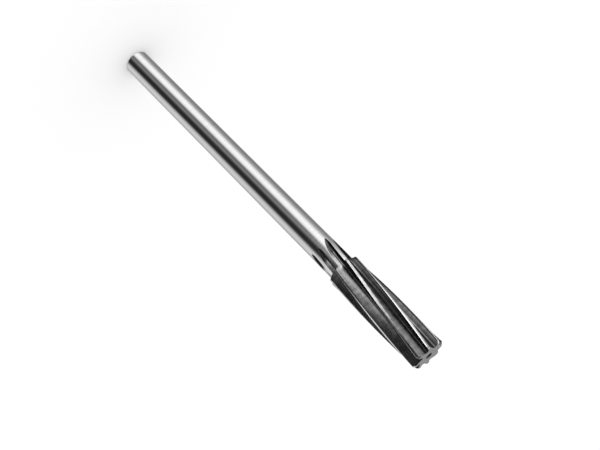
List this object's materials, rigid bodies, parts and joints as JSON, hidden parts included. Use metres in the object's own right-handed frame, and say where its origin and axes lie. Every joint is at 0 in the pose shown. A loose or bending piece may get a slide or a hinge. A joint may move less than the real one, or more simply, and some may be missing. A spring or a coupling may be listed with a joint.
{
  "type": "machine reamer",
  "caption": "Straight-shank machine reamer with right-hand spiral flutes for finishing a drilled hole to size.",
  "frame": {"origin": "centre of the flat shank end, on which the reamer stands", "axes": "+Z along the tool's axis, from the shank end to the cutting tip; +X through the cutting edge of one tooth at the tip"},
  "size_m": [0.013, 0.013, 0.17],
  "materials": {
    "ground_steel": "ground and polished high-speed steel, uncoated, with fine grinding marks"
  },
  "bodies": {
    "root": {"reamer": "ground_steel"}
  },
  "joints": []
}
